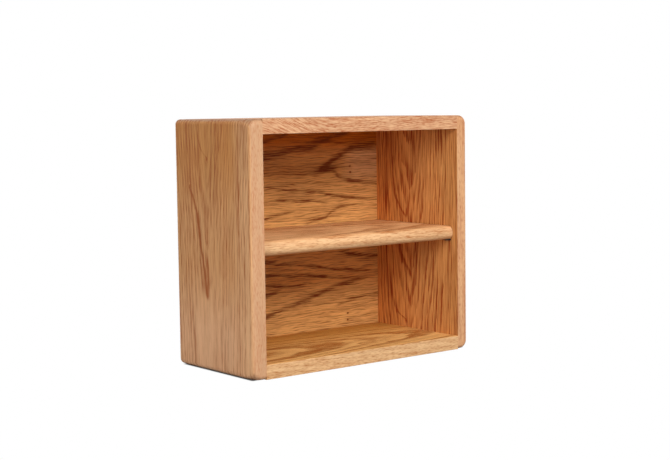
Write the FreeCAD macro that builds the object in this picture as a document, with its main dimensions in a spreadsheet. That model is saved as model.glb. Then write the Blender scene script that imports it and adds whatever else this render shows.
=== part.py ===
import FreeCAD, Part
import math
import os

import Sketcher
from FreeCAD import Placement, Rotation, Vector

# Open oak case for compact discs, standing on a table: two side boards, a top and a bottom board
# between them, a thin back let into a rabbet, and one loose shelf on four metal supports.
# Millimetres. X runs across the front, Y from front to back, Z up.
# The origin is the middle of the case on the surface that it stands on.

document = FreeCAD.newDocument("CdCabinet")
sheet = document.addObject("Spreadsheet::Sheet", "Sizes")

SIZES = [
    ("case_width", 371.475, "over the outer faces of the side boards, 14 5/8 in"),
    ("case_height", 330.2, "13 in"),
    ("case_depth", 177.8, "7 in"),
    ("side_thickness", 19.05, "3/4 in oak"),
    ("top_thickness", 19.05, "3/4 in oak"),
    ("bottom_thickness", 19.05, "3/4 in oak"),
    ("edge_radius", 6.35, "roundover along the front and back edges of the side boards"),
    ("long_edge_radius", 7.0, "roundover along the outer top and bottom edges"),
    ("corner_radius", 12.7, "front corners of the side boards, seen from the front"),
    ("corner_blend", 24.0, "length over which a front corner runs out into the long edge"),
    ("eased_edge", 0.6, "sandpaper easing of the front edges of the top and the bottom board"),
    ("back_thickness", 3.2, "oak faced plywood"),
    ("rabbet_width", 9.525, "ledge that the back panel lies on"),
    ("back_clearance", 0.4, "round the edge of the back panel"),
    ("shelf_thickness", 19.05, "3/4 in oak"),
    ("shelf_underside", 155.575, "height of the shelf's underside over the table"),
    ("shelf_setback", 8.9, "front of the shelf behind the front of the case"),
    ("shelf_end_gap", 0.8, "between each end of the shelf and its side board"),
    ("shelf_back_gap", 1.0, "between the shelf and the back panel"),
    ("shelf_edge_radius", 9.1, "roundover of the shelf's front edges, almost a full half round"),
    ("pin_radius", 2.5, "shank of a shelf support"),
    ("pin_clearance", 0.05, "round the shank in its hole"),
    ("pin_depth", 9.0, "length of the shank inside the side board"),
    ("pin_front_inset", 17.7, "front supports, from the front of the case"),
    ("pin_back_inset", 26.0, "back supports, from the back of the case"),
    ("blade_length", 8.5, "spoon of a shelf support, out of the side board"),
    ("blade_width", 9.5, "spoon of a shelf support, along the side board"),
    ("blade_thickness", 1.3, "spoon of a shelf support"),
    ("blade_corner", 2.5, "rounded corners at the spoon's free end"),
    ("dowel_radius", 3.97, "5/16 in birch dowel"),
    ("dowel_length", 38.1, "1 1/2 in"),
    ("dowel_in_side", 12.7, "part of the dowel inside the side board"),
    ("dowel_end_gap", 1.0, "room for glue past each end of a dowel"),
    ("dowel_clearance", 0.05, "round a dowel in its hole"),
    ("dowel_chamfer", 1.0, "at both ends of a dowel"),
    ("dowel_inset", 28.0, "first and last dowel from the front and the back"),
    ("brad_radius", 0.6, "shank of a brad in the back panel"),
    ("brad_head_radius", 1.1, "head of a brad"),
    ("brad_head_thickness", 0.6, "head of a brad"),
    ("brad_length", 15.9, "5/8 in, head included"),
    ("brad_tip_length", 1.5, "tapered part at the point of a brad"),
    ("brad_point_radius", 0.06, "blunt end of that taper"),
    ("brad_clearance", 0.05, "round a brad in its hole"),
    ("brad_inset", 4.75, "row of brads from the inner faces of the case"),
    ("brad_spacing_across", 85.0, "along the top and the bottom board"),
    ("brad_spacing_up", 110.0, "along the side boards"),
]
for row, (alias, value, note) in enumerate(SIZES, start=1):
    sheet.set(f"A{row}", alias)
    sheet.set(f"B{row}", str(value))
    sheet.setAlias(f"B{row}", alias)
    sheet.set(f"C{row}", note)
document.recompute()

# Places that several pieces share, as expressions on the sheet
INNER_X = "(Sizes.case_width / 2 - Sizes.side_thickness)"
OUTER_X = "(Sizes.case_width / 2)"
FRONT_Y = "(-Sizes.case_depth / 2)"
BACK_Y = "(Sizes.case_depth / 2)"
PANEL_Y = "(Sizes.case_depth / 2 - Sizes.back_thickness)"
CEILING_Z = "(Sizes.case_height - Sizes.top_thickness)"
RABBET_TOP_Z = "(Sizes.case_height - Sizes.top_thickness + Sizes.rabbet_width)"
RABBET_BOTTOM_Z = "(Sizes.bottom_thickness - Sizes.rabbet_width)"
DOWEL_HOLE_RADIUS = "Sizes.dowel_radius + Sizes.dowel_clearance"
BRAD_HOLE_RADIUS = "Sizes.brad_radius + Sizes.brad_clearance"
TOP_DOWEL_Z = "(Sizes.case_height - Sizes.top_thickness / 2)"
BOTTOM_DOWEL_Z = "(Sizes.bottom_thickness / 2)"
DOWEL_ROWS_Y = [f"({step} * (Sizes.case_depth / 2 - Sizes.dowel_inset))" for step in (-1, 0, 1)]
PIN_ROWS_Y = {
    "front": f"({FRONT_Y} + Sizes.pin_front_inset)",
    "back": f"({BACK_Y} - Sizes.pin_back_inset)",
}
PIN_RISE = "(Sizes.pin_radius - Sizes.blade_thickness)"
PIN_HOLE_Z = f"(Sizes.shelf_underside + {PIN_RISE})"
TOP_BRAD_Z = f"({CEILING_Z} + Sizes.brad_inset)"
BOTTOM_BRAD_Z = "(Sizes.bottom_thickness - Sizes.brad_inset)"
SIDE_BRAD_X = f"({INNER_X} + Sizes.brad_inset)"
BRAD_COLUMNS_X = [f"({step} * Sizes.brad_spacing_across)" for step in (-1.5, -0.5, 0.5, 1.5)]
BRAD_ROWS_Z = [f"(Sizes.case_height / 2 + {step} * Sizes.brad_spacing_up)" for step in (-0.5, 0.5)]
LEFT, RIGHT = -1, 1

# Limits that keep two rounded edges apart when the sizes change
EDGE_SHARE = 0.48  # of a width or a thickness, for each of its two edges
MEETING_SHARE = 0.95  # of the radius of the rounded edge that another one runs into


def number(expression):
    """The present value of an expression on the sheet."""
    return float(sheet.evalExpression(expression))


def new_body(label):
    body = document.addObject("PartDesign::Body", label)
    body.Label = label
    return body


def new_sketch(body, plane, name, height="0"):
    """A sketch on one of the body's own origin planes, moved along that plane's normal."""
    sketch = body.newObject("Sketcher::SketchObject", name)
    support = next(f for f in body.Origin.OriginFeatures if f.Role == plane)
    sketch.AttachmentSupport = [(support, "")]
    sketch.MapMode = "FlatFace"
    sketch.setExpression("AttachmentOffset.Base.z", height)
    return sketch


def bind(sketch, constraint, expression):
    """Adds a constraint with a value and ties that value to the sheet."""
    index = sketch.addConstraint(constraint)
    sketch.setExpression(f"Constraints[{index}]", expression)


def distance_x(sketch, geometry, point, expression):
    value = number(expression)
    bind(sketch, Sketcher.Constraint("DistanceX", -1, 1, geometry, point, value), expression)


def distance_y(sketch, geometry, point, expression):
    value = number(expression)
    bind(sketch, Sketcher.Constraint("DistanceY", -1, 1, geometry, point, value), expression)


def add_line(sketch, x_start, y_start, x_end, y_end):
    return sketch.addGeometry(Part.LineSegment(Vector(x_start, y_start, 0), Vector(x_end, y_end, 0)))


def add_rectangle(sketch, left, bottom, right, top):
    """A rectangle between four places given as expressions."""
    x0, y0, x1, y1 = number(left), number(bottom), number(right), number(top)
    lower = add_line(sketch, x0, y0, x1, y0)
    last = add_line(sketch, x1, y0, x1, y1)
    upper = add_line(sketch, x1, y1, x0, y1)
    first = add_line(sketch, x0, y1, x0, y0)
    ring = [lower, last, upper, first]
    for line, after in zip(ring, ring[1:] + ring[:1]):
        sketch.addConstraint(Sketcher.Constraint("Coincident", line, 2, after, 1))
    for line in (lower, upper):
        sketch.addConstraint(Sketcher.Constraint("Horizontal", line))
    for line in (last, first):
        sketch.addConstraint(Sketcher.Constraint("Vertical", line))
    distance_x(sketch, lower, 1, left)
    distance_x(sketch, last, 1, right)
    distance_y(sketch, lower, 1, bottom)
    distance_y(sketch, upper, 1, top)


def add_circles(sketch, centres, radius):
    for x, y in centres:
        centre = Vector(number(x), number(y), 0)
        circle = sketch.addGeometry(Part.Circle(centre, Vector(0, 0, 1), number(radius)))
        if abs(centre.x) > 1e-9:
            distance_x(sketch, circle, 3, x)
        else:
            sketch.addConstraint(Sketcher.Constraint("PointOnObject", circle, 3, -2))
        distance_y(sketch, circle, 3, y)
        bind(sketch, Sketcher.Constraint("Radius", circle, number(radius)), radius)


def add_side_outline(sketch, side, radius):
    """The end of a side board seen from the front: square inside, two rounded corners outside."""
    inner, outer = side * number(INNER_X), side * number(OUTER_X)
    high, r = number("Sizes.case_height"), number(radius)
    arc_x = outer - side * r
    inner_line = add_line(sketch, inner, 0, inner, high)
    top_line = add_line(sketch, inner, high, arc_x, high)
    outer_line = add_line(sketch, outer, high - r, outer, r)
    bottom_line = add_line(sketch, arc_x, 0, inner, 0)
    arcs = []
    for centre_y, turn in ((high - r, 0), (r, 270)):
        start = turn if side == RIGHT else (90 - turn) % 360
        angles = [math.radians(start + extra) for extra in (0, 90)]
        circle = Part.Circle(Vector(arc_x, centre_y, 0), Vector(0, 0, 1), r)
        arcs.append(sketch.addGeometry(Part.ArcOfCircle(circle, *angles)))
    top_arc, bottom_arc = arcs
    lower_end, upper_end = (1, 2) if side == RIGHT else (2, 1)
    add = sketch.addConstraint
    add(Sketcher.Constraint("Coincident", inner_line, 2, top_line, 1))
    add(Sketcher.Constraint("Coincident", bottom_line, 2, inner_line, 1))
    add(Sketcher.Constraint("Tangent", top_line, 2, top_arc, upper_end))
    add(Sketcher.Constraint("Tangent", outer_line, 1, top_arc, lower_end))
    add(Sketcher.Constraint("Tangent", outer_line, 2, bottom_arc, upper_end))
    add(Sketcher.Constraint("Tangent", bottom_line, 1, bottom_arc, lower_end))
    add(Sketcher.Constraint("Vertical", inner_line))
    add(Sketcher.Constraint("Vertical", outer_line))
    add(Sketcher.Constraint("Horizontal", top_line))
    add(Sketcher.Constraint("PointOnObject", bottom_line, 1, -1))
    add(Sketcher.Constraint("PointOnObject", bottom_line, 2, -1))
    distance_x(sketch, inner_line, 1, f"{side} * {INNER_X}")
    distance_x(sketch, outer_line, 1, f"{side} * {OUTER_X}")
    distance_y(sketch, top_line, 1, "Sizes.case_height")
    bind(sketch, Sketcher.Constraint("Radius", top_arc, r), radius)
    add(Sketcher.Constraint("Equal", top_arc, bottom_arc))


def pad(body, sketch, length, reverse=False):
    feature = body.newObject("PartDesign::Pad", sketch.Name + "_pad")
    feature.Profile = sketch
    feature.setExpression("Length", length)
    feature.Reversed = reverse
    document.recompute()
    return feature


def pocket(body, sketch, depth, reverse=False):
    """Cuts the sketch's outline out of the body, and makes sure that it met the wood."""
    before = body.Shape.Volume
    feature = body.newObject("PartDesign::Pocket", sketch.Name + "_cut")
    feature.Profile = sketch
    feature.setExpression("Length", depth)
    feature.Reversed = reverse
    document.recompute()
    if not body.Shape.Volume < before:
        raise RuntimeError(f"{body.Label}: {sketch.Name} cuts nothing")
    return feature


def edges_where(shape, test):
    """Names of the edges whose points at both ends and in the middle all pass the test."""
    names = []
    for index, edge in enumerate(shape.Edges, start=1):
        first, last = edge.FirstParameter, edge.LastParameter
        points = [edge.valueAt(first + (last - first) * share) for share in (0, 0.5, 1)]
        if all(test(point) for point in points):
            names.append(f"Edge{index}")
    return names


def fillet(body, name, radius, test):
    base = body.Tip
    names = edges_where(base.Shape, test)
    if not names:
        raise RuntimeError(f"{body.Label}: no edge for {name}")
    feature = body.newObject("PartDesign::Fillet", name)
    feature.Base = (base, names)
    feature.setExpression("Radius", radius)
    document.recompute()
    return feature


def near(value, place):
    """Whether two lengths are the same, give or take what the modeller rounds."""
    return abs(value - place) < 1e-4


def side_board(label, side):
    """A side board: full height, its outer edges rounded over all the way round.
    Its inner edges stay square, so that the top and the bottom board meet it flush."""
    body = new_body(label)
    sections = []
    steps = 4
    for step in range(steps + 1):
        share = step / steps
        fade = 1 - share * share * (3 - 2 * share)
        depth = f"Sizes.case_depth / 2 - {share} * Sizes.corner_blend"
        sketch = new_sketch(body, "XZ_Plane", f"{label}_section_{step}", depth)
        radius = f"Sizes.long_edge_radius + {fade} * (Sizes.corner_radius - Sizes.long_edge_radius)"
        add_side_outline(sketch, side, radius)
        sections.append(sketch)
    document.recompute()
    corner = body.newObject("PartDesign::AdditiveLoft", f"{label}_front_corners")
    corner.Profile = sections[0]
    corner.Sections = sections[1:]
    document.recompute()
    pad(body, sections[-1], "Sizes.case_depth - Sizes.corner_blend", reverse=True)

    inner, front, back = side * number(INNER_X), number(FRONT_Y), number(BACK_Y)

    def outside(point):
        return side * (point.x - inner) > 0.01

    fillet(body, f"{label}_front_roundover", "Sizes.edge_radius",
           lambda point: near(point.y, front) and outside(point))
    limit = f"{MEETING_SHARE} * Sizes.long_edge_radius"
    fillet(body, f"{label}_back_roundover", f"min(Sizes.edge_radius; {limit})",
           lambda point: near(point.y, back) and outside(point))

    rabbet = new_sketch(body, "XZ_Plane", f"{label}_rabbet", f"-{BACK_Y}")
    ledge = [f"{side} * {INNER_X}", f"{side} * ({INNER_X} + Sizes.rabbet_width)"]
    ledge.sort(key=number)
    add_rectangle(rabbet, ledge[0], RABBET_BOTTOM_Z, ledge[1], RABBET_TOP_Z)
    pocket(body, rabbet, "Sizes.back_thickness", reverse=True)

    outwards = side == RIGHT
    dowels = new_sketch(body, "YZ_Plane", f"{label}_dowel_holes", f"{side} * {INNER_X}")
    places = [(y, z) for y in DOWEL_ROWS_Y for z in (BOTTOM_DOWEL_Z, TOP_DOWEL_Z)]
    add_circles(dowels, places, DOWEL_HOLE_RADIUS)
    pocket(body, dowels, "Sizes.dowel_in_side + Sizes.dowel_end_gap", reverse=outwards)

    pins = new_sketch(body, "YZ_Plane", f"{label}_pin_holes", f"{side} * {INNER_X}")
    places = [(y, PIN_HOLE_Z) for y in PIN_ROWS_Y.values()]
    add_circles(pins, places, "Sizes.pin_radius + Sizes.pin_clearance")
    pocket(body, pins, "Sizes.pin_depth", reverse=outwards)

    brads = new_sketch(body, "XZ_Plane", f"{label}_brad_holes", f"-{PANEL_Y}")
    add_circles(brads, [(f"{side} * {SIDE_BRAD_X}", z) for z in BRAD_ROWS_Z], BRAD_HOLE_RADIUS)
    pocket(body, brads, "Sizes.brad_length - Sizes.back_thickness", reverse=True)
    return body


def cross_board(label, low_z, thickness, rabbet_low, rabbet_high, dowel_z, brad_z):
    """The top or the bottom board: cut square, held between the side boards by dowels."""
    body = new_body(label)
    outline = new_sketch(body, "XY_Plane", f"{label}_outline", low_z)
    add_rectangle(outline, f"-{INNER_X}", FRONT_Y, INNER_X, BACK_Y)
    pad(body, outline, thickness)
    front = number(FRONT_Y)
    span = number(INNER_X)
    fillet(body, f"{label}_eased_front", "Sizes.eased_edge",
           lambda point: near(point.y, front) and not
           (near(abs(point.x), span) and not near(point.z, number(low_z))
            and not near(point.z, number(low_z) + number(thickness))))

    rabbet = new_sketch(body, "XZ_Plane", f"{label}_rabbet", f"-{BACK_Y}")
    add_rectangle(rabbet, f"-{INNER_X}", rabbet_low, INNER_X, rabbet_high)
    pocket(body, rabbet, "Sizes.back_thickness", reverse=True)

    for name, side in (("left", LEFT), ("right", RIGHT)):
        holes = new_sketch(body, "YZ_Plane", f"{label}_{name}_dowel_holes", f"{side} * {INNER_X}")
        add_circles(holes, [(y, dowel_z) for y in DOWEL_ROWS_Y], DOWEL_HOLE_RADIUS)
        depth = "Sizes.dowel_length - Sizes.dowel_in_side + Sizes.dowel_end_gap"
        pocket(body, holes, depth, reverse=side == LEFT)

    brads = new_sketch(body, "XZ_Plane", f"{label}_brad_holes", f"-{PANEL_Y}")
    add_circles(brads, [(x, brad_z) for x in BRAD_COLUMNS_X], BRAD_HOLE_RADIUS)
    pocket(body, brads, "Sizes.brad_length - Sizes.back_thickness", reverse=True)
    return body


def brad_places():
    """Where the brads stand, as X and Z expressions."""
    places = [(x, z) for z in (BOTTOM_BRAD_Z, TOP_BRAD_Z) for x in BRAD_COLUMNS_X]
    return places + [(f"{side} * {SIDE_BRAD_X}", z) for side in (LEFT, RIGHT) for z in BRAD_ROWS_Z]


def back_panel():
    """The plywood back, lying in the rabbets and flush with the back of the case."""
    body = new_body("back_panel")
    outline = new_sketch(body, "XZ_Plane", "panel_outline", f"-{PANEL_Y}")
    half = f"({INNER_X} + Sizes.rabbet_width - Sizes.back_clearance)"
    low = f"({RABBET_BOTTOM_Z} + Sizes.back_clearance)"
    high = f"({RABBET_TOP_Z} - Sizes.back_clearance)"
    add_rectangle(outline, f"-{half}", low, half, high)
    pad(body, outline, "Sizes.back_thickness", reverse=True)
    shanks = new_sketch(body, "XZ_Plane", "panel_brad_holes", f"-{BACK_Y}")
    add_circles(shanks, brad_places(), BRAD_HOLE_RADIUS)
    pocket(body, shanks, "Sizes.back_thickness", reverse=True)
    heads = new_sketch(body, "XZ_Plane", "panel_brad_seats", f"-{BACK_Y}")
    add_circles(heads, brad_places(), "Sizes.brad_head_radius + Sizes.brad_clearance")
    pocket(body, heads, "Sizes.brad_head_thickness", reverse=True)
    return body


def shelf_board():
    """The loose shelf, resting on the four supports, its front edges rounded over."""
    body = new_body("shelf")
    half = f"({INNER_X} - Sizes.shelf_end_gap)"
    front = f"({FRONT_Y} + Sizes.shelf_setback)"
    outline = new_sketch(body, "XY_Plane", "shelf_outline", "Sizes.shelf_underside")
    add_rectangle(outline, f"-{half}", front, half, f"({PANEL_Y} - Sizes.shelf_back_gap)")
    pad(body, outline, "Sizes.shelf_thickness")
    levels = [number("Sizes.shelf_underside"), number("Sizes.shelf_underside + Sizes.shelf_thickness")]
    front_y = number(front)
    limit = f"{EDGE_SHARE} * Sizes.shelf_thickness"
    fillet(body, "shelf_roundover", f"min(Sizes.shelf_edge_radius; {limit})",
           lambda point: near(point.y, front_y) and any(near(point.z, level) for level in levels))
    return body


def shelf_support(label, side, row_y):
    """A spoon shaped support: a shank pushed into the side board and a flat blade for the shelf.
    The blade leaves the shank at its lowest line, so that the end of the shelf hides the hole.
    It is drawn with X pointing into the case, from the side board's face, and the blade's top at 0."""
    body = new_body(label)
    blade = new_sketch(body, "XY_Plane", f"{label}_blade", "-Sizes.blade_thickness")
    add_rectangle(blade, "0", "-Sizes.blade_width / 2", "Sizes.blade_length", "Sizes.blade_width / 2")
    pad(body, blade, "Sizes.blade_thickness")
    length = number("Sizes.blade_length")
    limit = f"{EDGE_SHARE} * Sizes.blade_width"
    fillet(body, f"{label}_blade_corners", f"min(Sizes.blade_corner; {limit})",
           lambda point: near(point.x, length) and near(abs(point.y), number("Sizes.blade_width / 2")))
    shank = new_sketch(body, "YZ_Plane", f"{label}_shank", "0")
    add_circles(shank, [("0", PIN_RISE)], "Sizes.pin_radius")
    pad(body, shank, "Sizes.pin_depth", reverse=True)
    body.Placement = Placement(Vector(), Rotation(Vector(0, 0, 1), 180 if side == RIGHT else 0))
    body.setExpression("Placement.Base.x", f"{side} * {INNER_X}")
    body.setExpression("Placement.Base.y", row_y)
    body.setExpression("Placement.Base.z", "Sizes.shelf_underside")
    return body


def dowel(label, side, row_y, height):
    """A glued dowel across the joint between a side board and the top or bottom board."""
    body = new_body(label)
    pin = body.newObject("PartDesign::AdditiveCylinder", f"{label}_rod")
    pin.setExpression("Radius", "Sizes.dowel_radius")
    pin.setExpression("Height", "Sizes.dowel_length")
    document.recompute()
    ends = body.newObject("PartDesign::Chamfer", f"{label}_ends")
    rims = [f"Edge{i}" for i, edge in enumerate(pin.Shape.Edges, start=1) if edge.isClosed()]
    ends.Base = (pin, rims)
    ends.setExpression("Size", f"min(Sizes.dowel_chamfer; {EDGE_SHARE} * Sizes.dowel_radius)")
    body.Placement = Placement(Vector(), Rotation(Vector(0, 1, 0), -90 * side))
    body.setExpression("Placement.Base.x", f"{side} * ({INNER_X} + Sizes.dowel_in_side)")
    body.setExpression("Placement.Base.y", row_y)
    body.setExpression("Placement.Base.z", height)
    return body


def back_brads():
    """The brads that hold the back panel: one group of separate nails, heads flush with the panel."""
    radius, head_radius = number("Sizes.brad_radius"), number("Sizes.brad_head_radius")
    head, length = number("Sizes.brad_head_thickness"), number("Sizes.brad_length")
    tip, point_radius = number("Sizes.brad_tip_length"), number("Sizes.brad_point_radius")
    back = number(BACK_Y)
    forwards = Vector(0, -1, 0)
    nails = []
    for x, z in brad_places():
        start = Vector(number(x), back, number(z))
        cap = Part.makeCylinder(head_radius, head, start, forwards)
        shank = Part.makeCylinder(radius, length - tip, start, forwards)
        point = Part.makeCone(radius, point_radius, tip, start + forwards * (length - tip), forwards)
        nails.append(cap.fuse(shank).fuse(point).removeSplitter())
    group = document.addObject("Part::Feature", "back_brads")
    group.Label = "back_brads"
    group.Shape = Part.makeCompound(nails)
    group.Placement = Placement()
    return group


pieces = [
    side_board("side_left", LEFT),
    side_board("side_right", RIGHT),
    cross_board("top_board", CEILING_Z, "Sizes.top_thickness", CEILING_Z, RABBET_TOP_Z,
                TOP_DOWEL_Z, TOP_BRAD_Z),
    cross_board("bottom_board", "0", "Sizes.bottom_thickness", RABBET_BOTTOM_Z,
                "Sizes.bottom_thickness", BOTTOM_DOWEL_Z, BOTTOM_BRAD_Z),
    back_panel(),
    shelf_board(),
    back_brads(),
]
for side_name, side in (("left", LEFT), ("right", RIGHT)):
    for row_name, row_y in PIN_ROWS_Y.items():
        pieces.append(shelf_support(f"support_{row_name}_{side_name}", side, row_y))
    for level_name, height in (("top", TOP_DOWEL_Z), ("bottom", BOTTOM_DOWEL_Z)):
        for order, row_y in zip(("front", "middle", "back"), DOWEL_ROWS_Y):
            pieces.append(dowel(f"dowel_{level_name}_{side_name}_{order}", side, row_y, height))
document.recompute()

for thing in document.Objects:
    if "Invalid" in thing.State or "Error" in thing.State:
        raise RuntimeError(f"{thing.Label} failed to build: {thing.State}")
os.makedirs("parts", exist_ok=True)
for piece in pieces:
    if piece.Shape.isNull() or not piece.Shape.isValid():
        raise RuntimeError(f"{piece.Label} has no valid shape")
for piece in pieces:
    piece.Shape.exportStep(f"parts/{piece.Label}.step")
    box = piece.Shape.BoundBox
    print(f"{piece.Label:28s} {len(piece.Shape.Solids)} solid(s), volume {piece.Shape.Volume:11.1f}, "
          f"x {box.XMin:8.2f} {box.XMax:8.2f}  y {box.YMin:8.2f} {box.YMax:8.2f}  "
          f"z {box.ZMin:8.2f} {box.ZMax:8.2f}")
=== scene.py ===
import math

import bmesh
import bpy
from mathutils import Matrix, Vector


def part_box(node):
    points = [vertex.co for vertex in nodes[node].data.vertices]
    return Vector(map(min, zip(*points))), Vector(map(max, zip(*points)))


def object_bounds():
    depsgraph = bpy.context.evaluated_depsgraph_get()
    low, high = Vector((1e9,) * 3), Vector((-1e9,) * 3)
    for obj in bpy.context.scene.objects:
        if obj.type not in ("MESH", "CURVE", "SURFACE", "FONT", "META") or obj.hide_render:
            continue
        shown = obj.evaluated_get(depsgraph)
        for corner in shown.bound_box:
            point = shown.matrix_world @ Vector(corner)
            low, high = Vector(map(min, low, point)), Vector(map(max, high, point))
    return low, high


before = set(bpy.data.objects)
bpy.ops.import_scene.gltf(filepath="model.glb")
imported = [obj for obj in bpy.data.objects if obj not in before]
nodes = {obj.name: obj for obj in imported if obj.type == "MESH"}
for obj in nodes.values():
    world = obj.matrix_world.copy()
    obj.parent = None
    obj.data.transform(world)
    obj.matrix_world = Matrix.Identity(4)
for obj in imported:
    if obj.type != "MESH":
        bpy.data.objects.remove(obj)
cad_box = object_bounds()

# Left side board. One piece of 3/4 in red oak with its grain upright, rounded over on every outer
# edge and finished with a satin lacquer. Growth rings make V shapes on its broad face, which open
# upwards, and turn into fine upright lines towards the front edge.


class Wire:
    """The output of a shader node, so that sums on it are written as Python."""

    def __init__(self, shader, socket):
        self.shader = shader
        self.socket = socket

    def output(self, name):
        """Another output of the same node."""
        return Wire(self.shader, self.socket.node.outputs[name])

    def maths(self, operation, *others):
        return self.shader.add("ShaderNodeMath", {"operation": operation}, [self, *others])

    def __add__(self, other):
        return self.maths("ADD", other)

    def __radd__(self, other):
        return self.maths("ADD", other)

    def __sub__(self, other):
        return self.maths("SUBTRACT", other)

    def __rsub__(self, other):
        return self.maths("MULTIPLY", -1.0).maths("ADD", other)

    def __mul__(self, other):
        return self.maths("MULTIPLY", other)

    def __rmul__(self, other):
        return self.maths("MULTIPLY", other)

    def __truediv__(self, other):
        return self.maths("DIVIDE", other)

    def __pow__(self, other):
        return self.maths("POWER", other)

    def __abs__(self):
        return self.maths("ABSOLUTE")

    def at_least(self, limit):
        return self.maths("MAXIMUM", limit)

    def clamped(self):
        """Kept from 0 to 1."""
        return self.at_least(0.0).maths("MINIMUM", 1.0)

    def step(self, start, end):
        """0 before start and 1 after end, with a smooth rise between them. Or the reverse."""
        if start > end:
            return 1.0 - self.step(end, start)
        settings = {"interpolation_type": "SMOOTHSTEP"}
        inputs = {"Value": self, "From Min": start, "From Max": end}
        return self.shader.add("ShaderNodeMapRange", settings, inputs)

    def between(self, start, full, still_full, end):
        """1 from full to still_full, fading to 0 at start on one side and at end on the other."""
        return self.step(start, full) * self.step(end, still_full)


class Shader:
    """A material, or the world, whose nodes are added by their type."""

    def __init__(self, name, owners=bpy.data.materials):
        self.owner = owners.new(name)
        self.owner.use_nodes = True
        self.tree = self.owner.node_tree
        self.tree.nodes.clear()

    def add(self, kind, settings=None, inputs=None, output=0):
        """Adds a node: first its settings, then the values or links of its sockets."""
        node = self.tree.nodes.new(kind)
        for name, value in (settings or {}).items():
            if name == "points":
                curve = node.mapping.curves[0]
                curve.points[0].location = value[0]
                curve.points[1].location = value[-1]
                for place in value[1:-1]:
                    curve.points.new(*place)
                node.mapping.update()
            else:
                setattr(node, name, value)
        named = enumerate(inputs) if isinstance(inputs, list) else (inputs or {}).items()
        for name, value in named:
            if isinstance(value, Wire):
                self.tree.links.new(value.socket, node.inputs[name])
            else:
                node.inputs[name].default_value = value
        return Wire(self, node.outputs[output]) if len(node.outputs) else node

    def mix(self, first, second, share):
        """A colour between two others."""
        share_socket, first_socket, second_socket, colour_output = 0, 6, 7, 2
        inputs = {share_socket: share, first_socket: first, second_socket: second}
        return self.add("ShaderNodeMix", {"data_type": "RGBA"}, inputs, colour_output)

    def finish(self, surface, output="ShaderNodeOutputMaterial"):
        """Shows a surface, and gives back the material or the world."""
        self.add(output, None, {"Surface": surface})
        return self.owner


def colour(red, green, blue):
    """A colour given as it looks on a screen, 0 to 255, as the linear values that shaders use."""
    shares = [value / 255 for value in (red, green, blue)]
    linear = [s / 12.92 if s <= 0.04045 else ((s + 0.055) / 1.055) ** 2.4 for s in shares]
    return (*linear, 1.0)


def hypotenuse(first, second):
    return (first ** 2.0 + second ** 2.0).maths("SQRT")


MILLIMETRES = 1000.0  # in a metre, the unit of the scene


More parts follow.
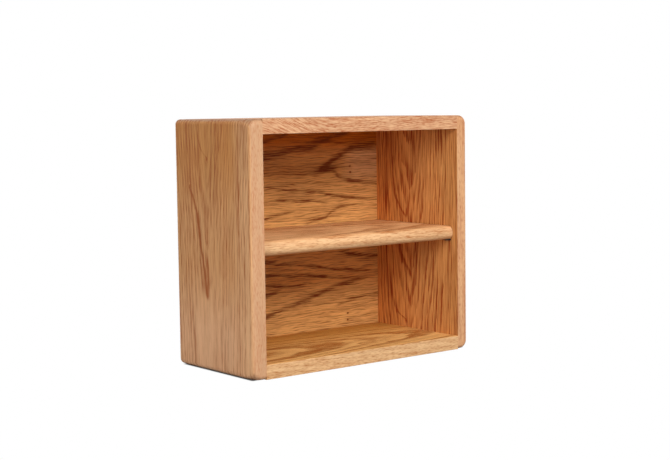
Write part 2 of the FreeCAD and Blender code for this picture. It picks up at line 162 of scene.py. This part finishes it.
class Oak(Shader):
    """Lacquered red oak. Its grain runs along one axis of the case and its rings lie round a pith
    line beside the board. All places in it are in millimetres, in the frame of the case."""

    LACQUER_ROUGHNESS = 0.58
    PORE_ROUGHNESS = 0.2
    LACQUER_SHINE = 0.2
    PORE_DEPTH = 0.00008

    def __init__(self, name, grain, across, depth):
        super().__init__(name)
        places = self.add("ShaderNodeTexCoord", None, None, "Object")
        scaled = self.add("ShaderNodeVectorMath", {"operation": "SCALE"}, {
            0: places, "Scale": MILLIMETRES})
        axes = self.add("ShaderNodeSeparateXYZ", None, [scaled])
        self.along, self.across, self.depth = (axes.output(a) for a in (grain, across, depth))
        facing = self.add("ShaderNodeSeparateXYZ", None, [places.output("Normal")])
        self.facing_end = abs(facing.output(grain))
        self.facing_edge = abs(facing.output(across))

    def noise(self, long, wide, detail=1.0, shift=0.0):
        """Noise from -0.5 to 0.5, stretched along the grain. long and wide are the size of one
        blotch, and shift moves the whole, so that no two of them lie alike."""
        place = self.add("ShaderNodeCombineXYZ", None, [
            self.along / long + shift, self.across / wide + shift, self.depth / wide])
        inputs = {"Vector": place, "Scale": 1.0, "Detail": detail, "Roughness": 0.55}
        return self.add("ShaderNodeTexNoise", None, inputs) - 0.5

    def rings(self, beside, below, width, first=0.0, waver=(9.0, 3.0, 1.5)):
        """Counts the growth rings outwards from the pith, beside and below which a place lies.
        waver is how far they stray over long, middling and short stretches."""
        coarse, middling, fine = waver
        stray = (self.noise(150, 34) * coarse + self.noise(34, 6) * middling
                 + self.noise(12, 1.6, shift=21.0) * fine)
        distance = hypotenuse(beside, below) + stray
        rings_in_a_run, extra_rings = 1.7, 0.9
        fat_years = self.add("ShaderNodeTexNoise", {"noise_dimensions": "1D"}, {
            "W": distance / (width * rings_in_a_run), "Scale": 1.0, "Detail": 1.0})
        return distance / width + fat_years * extra_rings + first

    def early_wood(self, rings, start=0.2, outwards=False):
        """The porous spring wood of each ring. It is dark up to a sharp edge on one side."""
        share = rings.maths("FRACT")
        if outwards:
            share = 1.0 - share
        tone = self.add("ShaderNodeTexWhiteNoise", {"noise_dimensions": "1D"}, {
            "W": rings.maths("FLOOR")})
        palest, variety = 0.17, 0.55
        return share.between(start, 0.75, 0.86, 1.0) * (tone * variety + palest)

    def stripe(self, path, below, above, ragged):
        """A single dark line through places given along and across the grain. It fades out over
        the widths below and above it, and between the last two places at both its ends."""
        first, last = path[0][0], path[-1][0]
        low = min(place for _, place in path)
        high = max(place for _, place in path)
        points = [((a - first) / (last - first), (c - low) / (high - low)) for a, c in path]
        share = (self.along - first) / (last - first)
        line = self.add("ShaderNodeFloatCurve", {"points": points}, {"Value": share})
        offset = self.across + ragged - (line * (high - low) + low)
        length = self.along.between(first, path[1][0], path[-2][0], last)
        return offset.between(-below, 0.0, 0.0, above) * length

    def stripes(self, ragged, lines):
        """The sum of single dark lines, each given as (strength, below, above, path). ragged is
        how far they all stray from their paths."""
        total = 0.0
        for strength, below, above, path in lines:
            total = self.stripe(path, below, above, ragged) * strength + total
        return total

    def even_lines(self, place, pitch):
        """A soft dark line at every pitch of a place."""
        return (place * (math.tau / pitch)).maths("SINE").step(-0.2, 1.0)

    def knot(self, along, across, radius):
        """A pin knot: a small dark spot, a little longer along the grain."""
        away = hypotenuse((self.along - along) * 0.8, self.across - across)
        return (away + self.noise(4, 4) * radius).step(radius, radius * 0.3)

    def narrow_face(self):
        """1 on the edges and ends of the board, and 0 on its broad faces."""
        return (self.facing_edge + self.facing_end).step(0.4, 0.9)

    def lacquered(self, pale, dark, figure, fibre, pore_strength=0.45):
        """The finished surface. figure is how dark the rings make a place. fibre is the length and
        width of the strands that the grain breaks up into, and how strongly they show on the broad
        faces and on the edges."""
        length, width, on_face, on_edge = fibre
        strands = self.noise(length, width, shift=5.0).step(-0.17, 0.19)
        fine_strands = self.noise(length / 2, width / 2, shift=3.0).step(-0.22, 0.22)
        strength = self.facing_edge * (on_edge - on_face) + on_face
        darkness = figure * (strands * 0.7 + 0.45) * (fine_strands * 0.4 + 0.8)
        darkness = darkness + strands * strength + (fine_strands - 0.5) * strength * 0.6
        # Slow changes over the whole board, and short flecks of ray on its edges
        clouds = self.noise(90, 8, shift=23.0) * 0.7
        flecks = self.noise(6, 1.2, 0.0, 17.0).step(-0.02, 0.2) * self.facing_edge * 0.3
        darkness = (darkness + clouds + flecks).clamped()
        # Open pores are dark dashes, mostly in the dark wood
        pores = self.noise(9, 0.5, 0.0, 13.0).step(0.06, 0.16) * (darkness * 0.8 + 0.2)
        in_pore = (dark[0] * 0.8, dark[1] * 0.6, dark[2] * 0.5, 1.0)
        shade = self.mix(self.mix(pale, dark, darkness), in_pore, pores * pore_strength)
        # Light and dark parts of the board, and ends that have drunk more lacquer
        streaks = self.noise(110, 3, shift=9.0) * 0.15
        blotches = self.noise(150, 40, shift=7.0) * 0.3
        tone = (1.0 + streaks + blotches) * (1.0 - self.facing_end ** 3.0 * 0.3)
        shade = self.add("ShaderNodeVectorMath", {"operation": "SCALE"}, {
            "Vector": shade, "Scale": tone})
        height = self.add("ShaderNodeBump", None, {
            "Strength": 0.3, "Distance": self.PORE_DEPTH, "Height": 1.0 - pores})
        surface = self.add("ShaderNodeBsdfPrincipled", None, {
            "Base Color": shade, "Normal": height, "Specular IOR Level": self.LACQUER_SHINE,
            "Roughness": pores * self.PORE_ROUGHNESS + self.LACQUER_ROUGHNESS})
        return self.finish(surface)


def rings_in_vs(oak, tip, next_tip, pith_depth, into_board, ring_width, middle, waver):
    """Rings that meet a broad face in Vs. The pith lies pith_depth beyond that face at the height
    tip of one V's tip, and one ring width nearer at each next_tip above it."""
    nearest_pith = 4.0  # which keeps the tips of the Vs round
    first_ring = 0.3
    pith = pith_depth - (oak.along - tip) / next_tip * ring_width + into_board
    below = pith.at_least(nearest_pith)
    return oak.rings(oak.across - middle, below, ring_width, first_ring, waver)


def dress(names, material):
    """Gives CAD nodes their finish."""
    for name in names:
        mesh = nodes[name].data
        mesh.materials.clear()
        mesh.materials.append(material)


left_oak = Oak("oak of the left board", grain="Z", across="Y", depth="X")
left_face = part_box("side_left")[0].x * MILLIMETRES
left_rings = rings_in_vs(
    left_oak, tip=95.7, next_tip=92.0, pith_depth=33.0, into_board=left_oak.depth - left_face,
    ring_width=5.4, middle=14.6, waver=(9.0, 3.0, 1.5))

# No rings show below the largest V, and they are faint in front of it
towards_front = left_oak.across.step(10, -60)
below_v = left_oak.along.step(120, 92) * left_oak.across.between(-8, 4, 38, 46)
in_front_of_v = left_oak.along.step(240, 215) * left_oak.across.between(-18, -8, 6, 12)
left_figure = left_oak.early_wood(left_rings) * (1.1 - towards_front * 0.3) * (1.0 - below_v)
left_figure = left_figure * (1.0 - in_front_of_v * 0.75) * (1.0 - left_oak.facing_edge * 0.6)

# The back arm of the largest V comes first, then its tip, and then the lines above and beside it
left_figure = left_figure + left_oak.stripes(left_oak.noise(30, 3.5, 2.0, 11.0) * 3.0, [
    (1.3, 3.5, 4.0, [(92, 14.5), (104, 16.5), (135, 21), (165, 28), (201, 34.5), (228, 45),
                     (236, 50), (243, 54)]),
    (0.8, 6.0, 6.5, [(90, 13.5), (100, 13.5), (125, 13), (145, 15), (165, 19)]),
    (0.5, 2, 3, [(180, 3), (198, 2.4), (264, 2.4), (291, -3.6), (317, -10), (332, -16)]),
    (0.4, 2, 3, [(200, -3.5), (221, -5), (264, -10), (297, -20), (325, -28), (334, -30)]),
    (0.6, 2, 3, [(272, 8), (279, 10), (287, 19.5), (300, 28), (320, 33), (334, 36)]),
    (0.6, 2.5, 2.5, [(243, 54), (255, 53), (264, 52.6), (297, 56), (320, 57.5), (334, 58)]),
    (0.4, 3, 3, [(110, 62), (132, 64), (160, 66), (200, 69), (218, 69), (240, 69)]),
    (0.35, 3, 3, [(130, 51), (150, 49), (180, 46), (205, 53), (225, 58)]),
    (0.3, 10, 10, [(230, 30), (245, 30), (262, 31), (280, 32), (300, 33)]),
])

# Fine Vs lie inside each other in the upper half
V_MIDDLE = 11.5
V_TIP_RADIUS = 4.0
V_SPREAD = 0.17  # to each side, for each step up
V_PITCH = 6.4
beside_v = hypotenuse(left_oak.across - V_MIDDLE, V_TIP_RADIUS) - left_oak.along * V_SPREAD
beside_v = beside_v + left_oak.noise(120, 22, shift=31.0) * 9.0
beside_v = beside_v + left_oak.noise(30, 4, shift=33.0) * 2.0
fine_vs = left_oak.even_lines(beside_v, V_PITCH) * left_oak.along.step(130, 230)
left_figure = left_figure + fine_vs * (1.0 - left_oak.facing_edge) * 0.3
left_figure = left_figure + left_oak.knot(279, 10.3, 2.6) + left_oak.knot(242, 52, 3.2) * 0.7

left_pale = left_oak.mix(
    colour(209, 147, 82), colour(225, 168, 112), left_oak.along.step(290, 180))
left_pale = left_oak.mix(left_pale, colour(232, 180, 135), left_oak.along.step(150, 40))
left_pale = left_oak.mix(left_pale, colour(235, 184, 134), left_oak.across.step(-40, -75) * 0.7)
left_pale = left_oak.mix(left_pale, colour(195, 152, 115), left_oak.narrow_face())
dress(["side_left"], left_oak.lacquered(
    left_pale, colour(166, 90, 40), left_figure, fibre=(26, 1.0, 0.24, 0.12), pore_strength=0.25))

# Right side board. The left board's twin, from another plank of red oak, which is redder and has
# narrower rings. Its inner face is seen in both compartments, with nested Vs.
right_oak = Oak("oak of the right board", grain="Z", across="Y", depth="X")
right_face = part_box("side_right")[1].x * MILLIMETRES
right_rings = rings_in_vs(
    right_oak, tip=20.0, next_tip=52.0, pith_depth=30.0, into_board=right_face - right_oak.depth,
    ring_width=4.4, middle=14.0, waver=(12.0, 4.0, 1.5))
right_figure = right_oak.early_wood(right_rings, 0.1) * (1.2 - right_oak.facing_edge * 0.9)

# Three dark lines in the upper compartment, and three in the lower one
right_figure = right_figure + right_oak.stripes(right_oak.noise(30, 3.5, 2.0, 11.0) * 4.0, [
    (0.56, 5.4, 7.2, [(178, 20), (188, 18), (208, 11.4), (248, 6.4), (294, 1.5), (320, 0)]),
    (0.8, 3, 4, [(180, 20), (188, 26), (201, 36), (221, 46), (260, 50), (320, 52)]),
    (0.7, 5, 5, [(170, 63), (200, 63), (250, 63), (300, 62), (330, 62)]),
    (0.8, 4, 7, [(92, 10), (99, 11.4), (115, 23), (139, 36), (160, 40)]),
    (0.7, 3, 5, [(20, 14), (50, 13), (76, 8), (99, 1.5), (132, -2), (170, -5)]),
    (0.8, 4, 5, [(24, 20), (30, 23), (40, 39.5), (56, 49), (90, 56), (120, 58)]),
])

right_pale = right_oak.mix(
    colour(226, 162, 94), colour(230, 154, 80), right_oak.across.step(-20, 70))
right_pale = right_oak.mix(right_pale, colour(212, 163, 118), right_oak.narrow_face())
dress(["side_right"], right_oak.lacquered(
    right_pale, colour(150, 64, 20), right_figure, fibre=(46, 1.5, 0.34, 0.2), pore_strength=0.3))

# Top and bottom boards. Red oak of the same thickness, with the grain across the case, cut square
# and set between the side boards. Their front edges show rings as long slanting lines.


def flat_board(name, heart, pith, tilt, ring_width, first, contrast, colours, fibre, curl=0.0):
    """Oak of a board that lies flat. The pith runs along the board at the place heart, at the
    height pith in the middle of the board, and sinks by tilt for each step to the right.
    colours are the pale wood in front and behind, the pale wood of the edges, and the dark wood.
    On the bottom board the colour behind is darker, as painted shade towards the back.
    curl is how far the strands drop on their way in from the left end."""
    oak = Oak(name, grain="X", across="Y", depth="Z")
    in_front, behind, on_edge, dark = colours
    below = oak.depth - pith + oak.along * tilt
    rings = oak.rings(oak.across - heart, below, ring_width, first, (7.0, 3.0, 1.5))
    figure = oak.early_wood(rings, 0.1, outwards=True) * (1.0 - oak.facing_edge * 0.7) * contrast
    # Towards the back the wood turns to the colour behind, which on the bottom board is painted
    # shade
    pale = oak.mix(in_front, behind, oak.across.step(-50, 75))
    pale = oak.mix(pale, on_edge, oak.facing_edge.step(0.3, 0.9))
    oak.depth = oak.depth + oak.along.step(-185, -60) * curl
    return oak.lacquered(pale, dark, figure, fibre)


top_pale = colour(212, 160, 110)
dress(["top_board"], flat_board(
    "oak of the top board", heart=8.0, pith=258.0, tilt=0.05, ring_width=5.0, first=0.0,
    contrast=1.1, colours=(top_pale, top_pale, colour(211, 167, 127), colour(160, 88, 48)),
    fibre=(20, 1.0, 0.3, 0.62), curl=38.0))
# The bottom board's darker, browner colour behind is painted shade at the back of the lower
# compartment
dress(["bottom_board"], flat_board(
    "oak of the bottom board", heart=-28.0, pith=-71.0, tilt=0.072, ring_width=6.5, first=1.2,
    contrast=1.5, fibre=(18, 1.1, 0.3, 0.2), colours=(
        colour(240, 186, 114), colour(196, 138, 60), colour(222, 180, 132), colour(160, 94, 34))))

# Back panel. Thin plywood faced with sliced oak: broad dark swooshes from the flat sawn veneer and
# dense short pores, level as the grain is. It lies in rabbets and is nailed from behind.
panel_oak = Oak("oak veneer of the back", grain="X", across="Z", depth="Y")

# The swooshes of the upper compartment come first, and then those of the lower one
panel_ragged = (panel_oak.noise(26, 3.2, 2.0, 11.0) * 7.0
                + panel_oak.noise(90, 22, shift=2.0) * 5.0)
swooshes = panel_oak.stripes(panel_ragged, [
    (1.06, 8.5, 11.9, [(-190, 244), (-166, 250), (-100, 262), (-40, 274), (0, 281), (40, 288),
                       (67, 296), (100, 306), (130, 313)]),
    (0.7, 3, 6, [(-190, 262), (-120, 278), (-40, 296), (-10, 303), (20, 311), (40, 316)]),
    (1.1, 7, 9, [(45, 249), (62, 255), (75, 262), (90, 271), (117, 281), (150, 287), (190, 292)]),
    (0.9, 5, 6, [(60, 254), (73, 254), (85, 249), (97, 241), (110, 237), (133, 233), (190, 227)]),
    (0.9, 9, 9, [(35, 250), (62, 251), (80, 254), (98, 259)]),
    (1.0, 2.5, 4.5, [(-190, 242), (-120, 237), (-40, 231), (13, 225), (53, 221), (86, 214),
                     (126, 209), (190, 201)]),
    (0.8, 2, 4, [(-190, 229), (-120, 221), (-40, 213), (0, 210), (33, 208), (67, 205), (90, 200)]),
    (0.7, 3, 6, [(15, 170), (40, 178), (67, 184), (87, 194), (120, 199), (150, 201)]),
    (0.7, 2.5, 4, [(-190, 158), (-120, 172), (-40, 186), (-20, 191), (0, 194), (15, 196)]),
    (1.0, 4, 6, [(75, 140), (93, 134), (110, 129), (133, 124), (166, 119), (190, 117)]),
    (1.0, 2.5, 4.5, [(-190, 140), (-120, 134), (-40, 125.5), (0, 119), (47, 114), (80, 106),
                     (110, 103), (140, 101), (190, 98)]),
    (1.1, 2.5, 5, [(-190, 113), (-120, 110), (-40, 106), (0, 103), (33, 100.5), (73, 95.5),
                   (110, 91), (150, 87)]),
    (0.9, 2, 4, [(-190, 102), (-120, 99), (-40, 92), (-10, 88), (20, 87), (35, 86)]),
    (0.9, 5, 8, [(-190, 8), (-120, 26), (-60, 42), (-30, 50), (7, 59), (47, 69), (80, 79),
                 (113, 85), (155, 88)]),
    (0.9, 3, 8, [(-190, 30), (-120, 50), (-60, 70), (-40, 76), (-25, 81), (-8, 85)]),
    (0.5, 2, 5, [(75, 47), (93, 52), (123, 59), (160, 64), (190, 66)]),
])
upper_knots = panel_oak.knot(115, 257, 2.4) + panel_oak.knot(115.6, 248.4, 2.4)
lower_knots = panel_oak.knot(107.7, 38.9, 2.2) + panel_oak.knot(107.4, 28.9, 2.2)
panel_figure = swooshes * 0.85 + upper_knots + lower_knots

# Fine level lines run all over the veneer
LEVEL_PITCH = 3.7
level_place = panel_oak.across + panel_oak.noise(45, 14, shift=31.0) * 12.0
panel_figure = panel_figure + panel_oak.even_lines(level_place, LEVEL_PITCH) * 0.36

# The veneer on the outer face is plainer
inner_veneer = panel_oak.depth.step(87.6, 87.2)
OUTER_HEART = 150.0
OUTER_PITH = 20.0
OUTER_RING_WIDTH = 9.0
outer_rings = panel_oak.rings(
    panel_oak.across - OUTER_HEART, panel_oak.depth - OUTER_PITH, OUTER_RING_WIDTH)
outer_figure = panel_oak.early_wood(outer_rings) * (1.0 - inner_veneer) * 0.6
panel_figure = panel_figure * inner_veneer + outer_figure

# The wood is yellower towards its left end, darker and deeper in colour right under the top and
# the shelf as painted shade, and paler round the upper knots
panel_pale = panel_oak.mix(
    colour(246, 178, 62), colour(236, 176, 104), panel_oak.along.step(-150, -60))
# Painted shade: darker, deeper colour just under the top board and just under the shelf
painted_shade_under_top = panel_oak.across.step(266, 300)
painted_shade_under_shelf = panel_oak.across.between(124, 150, 154, 174)
panel_pale = panel_oak.mix(panel_pale, colour(204, 114, 22), painted_shade_under_top + painted_shade_under_shelf * 0.6)
round_knots = panel_oak.along.step(85, 130) * panel_oak.across.between(225, 255, 272, 288)
panel_pale = panel_oak.mix(panel_pale, colour(250, 205, 150), round_knots * 0.8)
panel_pale = panel_oak.mix(colour(226, 168, 110), panel_pale, inner_veneer)
dress(["back_panel"], panel_oak.lacquered(
    panel_pale, colour(118, 53, 8), panel_figure * 0.9, fibre=(30, 1.15, 0.34, 0.3)))

# Shelf. A loose oak board with its grain across the case and its front edges rounded over, which
# rests on the four supports.
dress(["shelf"], flat_board(
    "oak of the shelf", heart=-10.0, pith=-20.0, tilt=0.06, ring_width=7.0, first=0.3,
    contrast=1.6, fibre=(20, 1.2, 0.34, 0.24), colours=(
        colour(236, 184, 130), colour(234, 180, 124), colour(223, 180, 133), colour(166, 98, 44))))

# Shelf supports. Spoon shaped pins of dark bronzed steel. Each is pushed into a hole in a side
# board, and its flat blade carries a corner of the shelf.
bronze = Shader("dark bronzed steel")
dress([name for name in nodes if name.startswith("support_")], bronze.finish(
    bronze.add("ShaderNodeBsdfPrincipled", None, {
        "Base Color": colour(34, 28, 24), "Metallic": 0.3, "Roughness": 0.5})))

# Dowels. Bare birch, glued into the ends of the top and bottom boards and into the side boards,
# so nothing shows of them.
birch = Shader("bare birch")
dress([name for name in nodes if name.startswith("dowel_")], birch.finish(
    birch.add("ShaderNodeBsdfPrincipled", None, {
        "Base Color": colour(222, 198, 158), "Roughness": 0.7})))

# Brads. Plain steel nails, driven through the back panel from behind. Their heads lie flush with
# its back.
steel = Shader("plain steel")
dress(["back_brads"], steel.finish(
    steel.add("ShaderNodeBsdfPrincipled", None, {
        "Base Color": colour(176, 174, 170), "Metallic": 1.0, "Roughness": 0.35})))

# Studio. A floor of white paper, which shows only the dark line where the case stands on it, a
# white wall all round, and five soft lights.
WHITE = (1.0, 1.0, 1.0, 1.0)
SHADED_PAPER = (0.35, 0.35, 0.35, 1.0)
SKY_LIGHT = 0.08  # from the white wall on the case
FLOOR_REACH = 30.0
FLOOR_GAP = 0.0003  # to the underside of the case
floor_mesh = bpy.data.meshes.new("floor")
sheet = bmesh.new()
bmesh.ops.create_grid(sheet, x_segments=1, y_segments=1, size=FLOOR_REACH)
sheet.to_mesh(floor_mesh)
sheet.free()
floor = bpy.data.objects.new("floor", floor_mesh)
floor.location.z = -FLOOR_GAP
bpy.context.scene.collection.objects.link(floor)


def seen_directly(shader):
    """1 for what the camera sees, also in metal or through glass, and 0 for light that bounces."""
    ray = shader.add("ShaderNodeLightPath", None, None, "Is Camera Ray")
    return (ray + ray.output("Is Glossy Ray") + ray.output("Is Transmission Ray")).clamped()


# The shadow stays within the footprint of the case and fades out towards its rounded edges
SHADOW_INSET_X = 0.004
SHADOW_INSET_Y = 0.010
SHADOW_FADE = 0.004
paper = Shader("white paper")
low, high = cad_box
half_size = (Vector(high) - Vector(low)) / 2
ground = paper.add("ShaderNodeSeparateXYZ", None, [
    paper.add("ShaderNodeTexCoord", None, None, "Object")])
beyond_x = (abs(ground.output("X")) - (half_size.x - SHADOW_INSET_X)).at_least(0.0)
beyond_y = (abs(ground.output("Y")) - (half_size.y - SHADOW_INSET_Y)).at_least(0.0)
clear = seen_directly(paper) * hypotenuse(beyond_x, beyond_y).step(0.0, SHADOW_FADE)
matt = paper.add("ShaderNodeBsdfDiffuse", None, {"Color": SHADED_PAPER})
bright = paper.add("ShaderNodeEmission", None, {"Color": WHITE, "Strength": 1.0})
floor_mesh.materials.append(paper.finish(
    paper.add("ShaderNodeMixShader", None, [clear, matt, bright])))

sky = Shader("studio", bpy.data.worlds)
dim = sky.add("ShaderNodeBackground", None, {"Color": WHITE, "Strength": SKY_LIGHT})
white = sky.add("ShaderNodeBackground", None, {"Color": WHITE, "Strength": 1.0})
backdrop = sky.add("ShaderNodeMixShader", None, [seen_directly(sky), dim, white])
bpy.context.scene.world = sky.finish(backdrop, "ShaderNodeOutputWorld")


LIGHT_AIM = Vector((0.0, 0.0, 0.16))  # about the middle of the case


def softbox(name, place, size, power):
    """A square area light."""
    light = bpy.data.lights.new(name, "AREA")
    light.shape = "SQUARE"
    light.size = size
    light.energy = power
    lamp = bpy.data.objects.new(name, light)
    direction = LIGHT_AIM - Vector(place)
    lamp.matrix_world = (Matrix.Translation(place)
                         @ direction.to_track_quat("-Z", "Y").to_matrix().to_4x4())
    bpy.context.scene.collection.objects.link(lamp)


softbox("key light", place=(0.0, -2.05, 1.6), size=1.2, power=64.0)
softbox("fill light", place=(-2.1, -1.2, 0.75), size=1.2, power=27.0)
softbox("rim light", place=(1.4, 2.2, 1.2), size=2.0, power=5.0)
softbox("back light", place=(0.0, 2.4, 0.7), size=1.6, power=26.0)
softbox("right light", place=(2.4, 0.2, 0.7), size=1.2, power=18.0)

# Camera. It stands where the photograph was taken from. Its place is in metres in the frame of the
# case, and its angles are in radians.
IMAGE_WIDTH = 670
FOCAL_PIXELS = 1392.9
SENSOR_MM = 36.0
CAMERA_PLACE = Vector((-1.18200, -1.50905, 0.34454))
YAW, PITCH, ROLL = 0.67157, -0.08840, -0.01293
flat = math.cos(PITCH)
forward = Vector((math.sin(YAW) * flat, math.cos(YAW) * flat, math.sin(PITCH)))
level = Vector((math.cos(YAW), -math.sin(YAW), 0.0))
upright = level.cross(forward)
rightwards = level * math.cos(ROLL) + upright * math.sin(ROLL)
upwards = upright * math.cos(ROLL) - level * math.sin(ROLL)
turn = Matrix((rightwards, upwards, -forward)).transposed().to_4x4()
camera_data = bpy.data.cameras.new("camera")
camera_data.sensor_width = SENSOR_MM
camera_data.lens = FOCAL_PIXELS * SENSOR_MM / IMAGE_WIDTH
camera = bpy.data.objects.new("camera", camera_data)
camera.matrix_world = Matrix.Translation(CAMERA_PLACE) @ turn
bpy.context.scene.collection.objects.link(camera)
bpy.context.scene.camera = camera
bpy.context.scene.view_settings.view_transform = "Standard"
